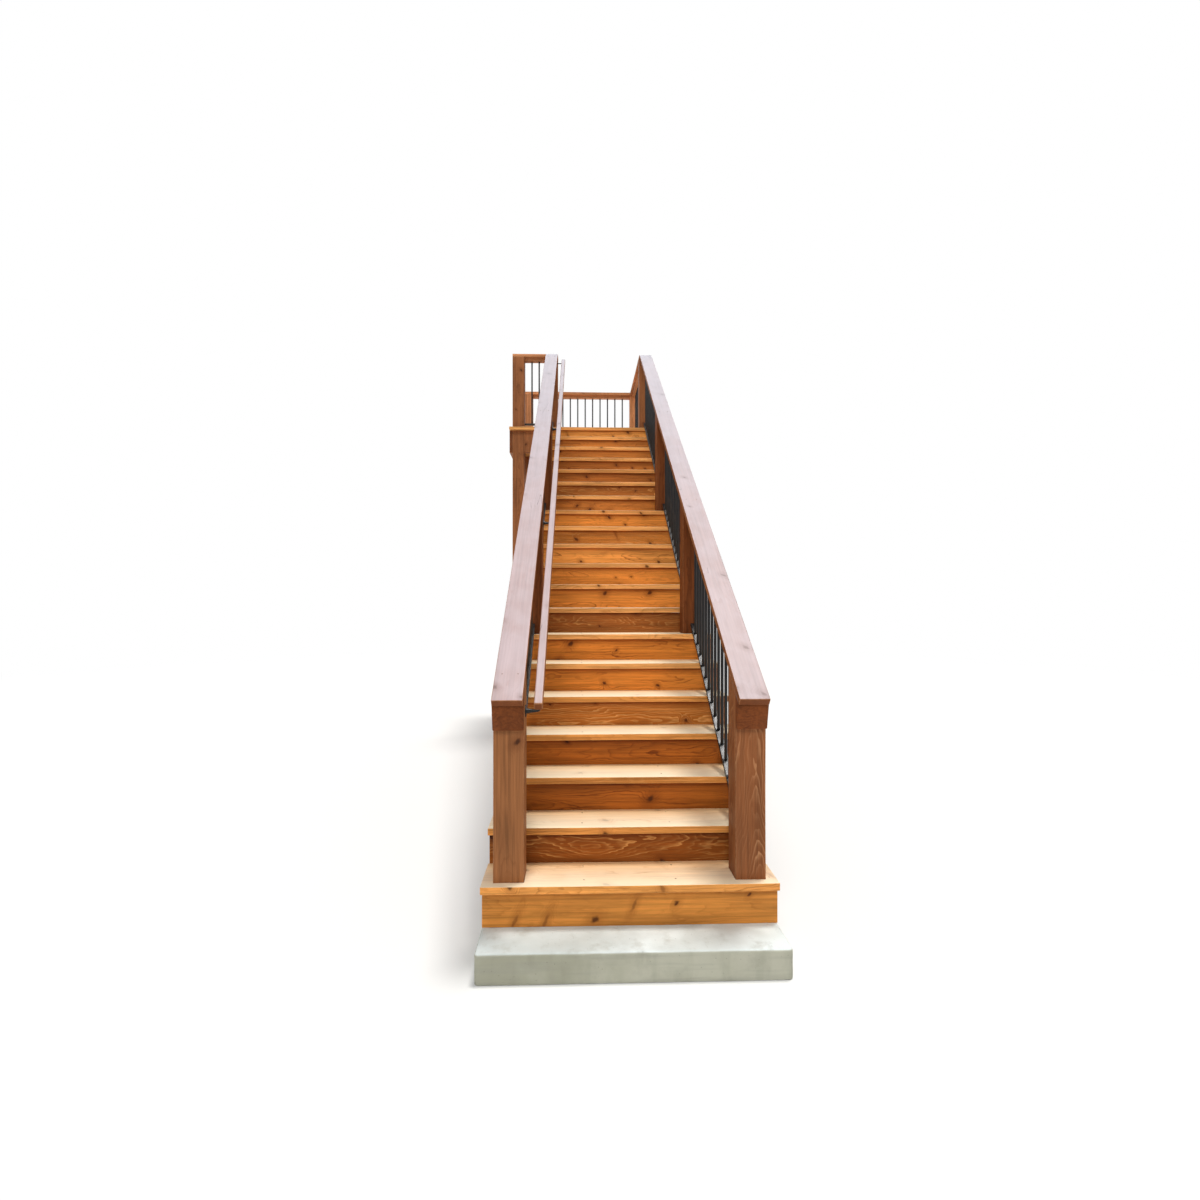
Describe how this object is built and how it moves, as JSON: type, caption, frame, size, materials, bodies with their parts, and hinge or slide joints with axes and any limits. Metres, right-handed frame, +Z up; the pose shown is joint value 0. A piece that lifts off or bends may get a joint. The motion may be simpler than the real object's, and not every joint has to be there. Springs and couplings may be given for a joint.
{
  "type": "straight timber deck stair with landing",
  "caption": "Straight timber stair with closed risers, guards and a handrail, rising from a concrete step to a railed landing on tall posts.",
  "frame": {"origin": "on the ground, on the stair's centreline, straight below the first tread's front edge", "axes": "+Y up the flight, towards the landing; +X to the right for someone climbing; +Z up"},
  "size_m": [1.882, 7.0233, 4.9125],
  "materials": {
    "cedar_tread": "clear-sealed golden cedar",
    "stained_timber": "brown semi-transparent stain on rough-sawn timber",
    "black_metal": "satin black powder coat",
    "concrete": "broom-finished concrete"
  },
  "bodies": {
    "root": {"back_rim": "stained_timber", "concrete_step": "concrete", "deck_side_post": "stained_timber", "far_posts": "stained_timber", "foot_newels": "stained_timber", "front_header": "stained_timber", "handrail": "stained_timber", "handrail_brackets": "black_metal", "landing_balusters": "black_metal", "landing_boards": "cedar_tread", "landing_caps": "stained_timber", "landing_joists": "stained_timber", "landing_sub_rails": "stained_timber", "left_balusters": "black_metal", "left_rim": "stained_timber", "lower_posts": "stained_timber", "middle_stringers": "stained_timber", "newel_heads": "stained_timber", "outer_stringers": "stained_timber", "right_balusters": "black_metal", "right_rim": "stained_timber", "risers": "cedar_tread", "stair_caps": "stained_timber", "stair_sub_rails": "stained_timber", "top_newels": "stained_timber", "tread_01": "cedar_tread", "tread_02": "cedar_tread", "tread_03": "cedar_tread", "tread_04": "cedar_tread", "tread_05": "cedar_tread", "tread_06": "cedar_tread", "tread_07": "cedar_tread", "tread_08": "cedar_tread", "tread_09": "cedar_tread", "tread_10": "cedar_tread", "tread_11": "cedar_tread", "tread_12": "cedar_tread", "tread_13": "cedar_tread", "tread_14": "cedar_tread", "tread_15": "cedar_tread", "tread_16": "cedar_tread", "tread_17": "cedar_tread", "tread_18": "cedar_tread", "tread_19": "cedar_tread", "upper_posts": "stained_timber"}
  },
  "joints": []
}
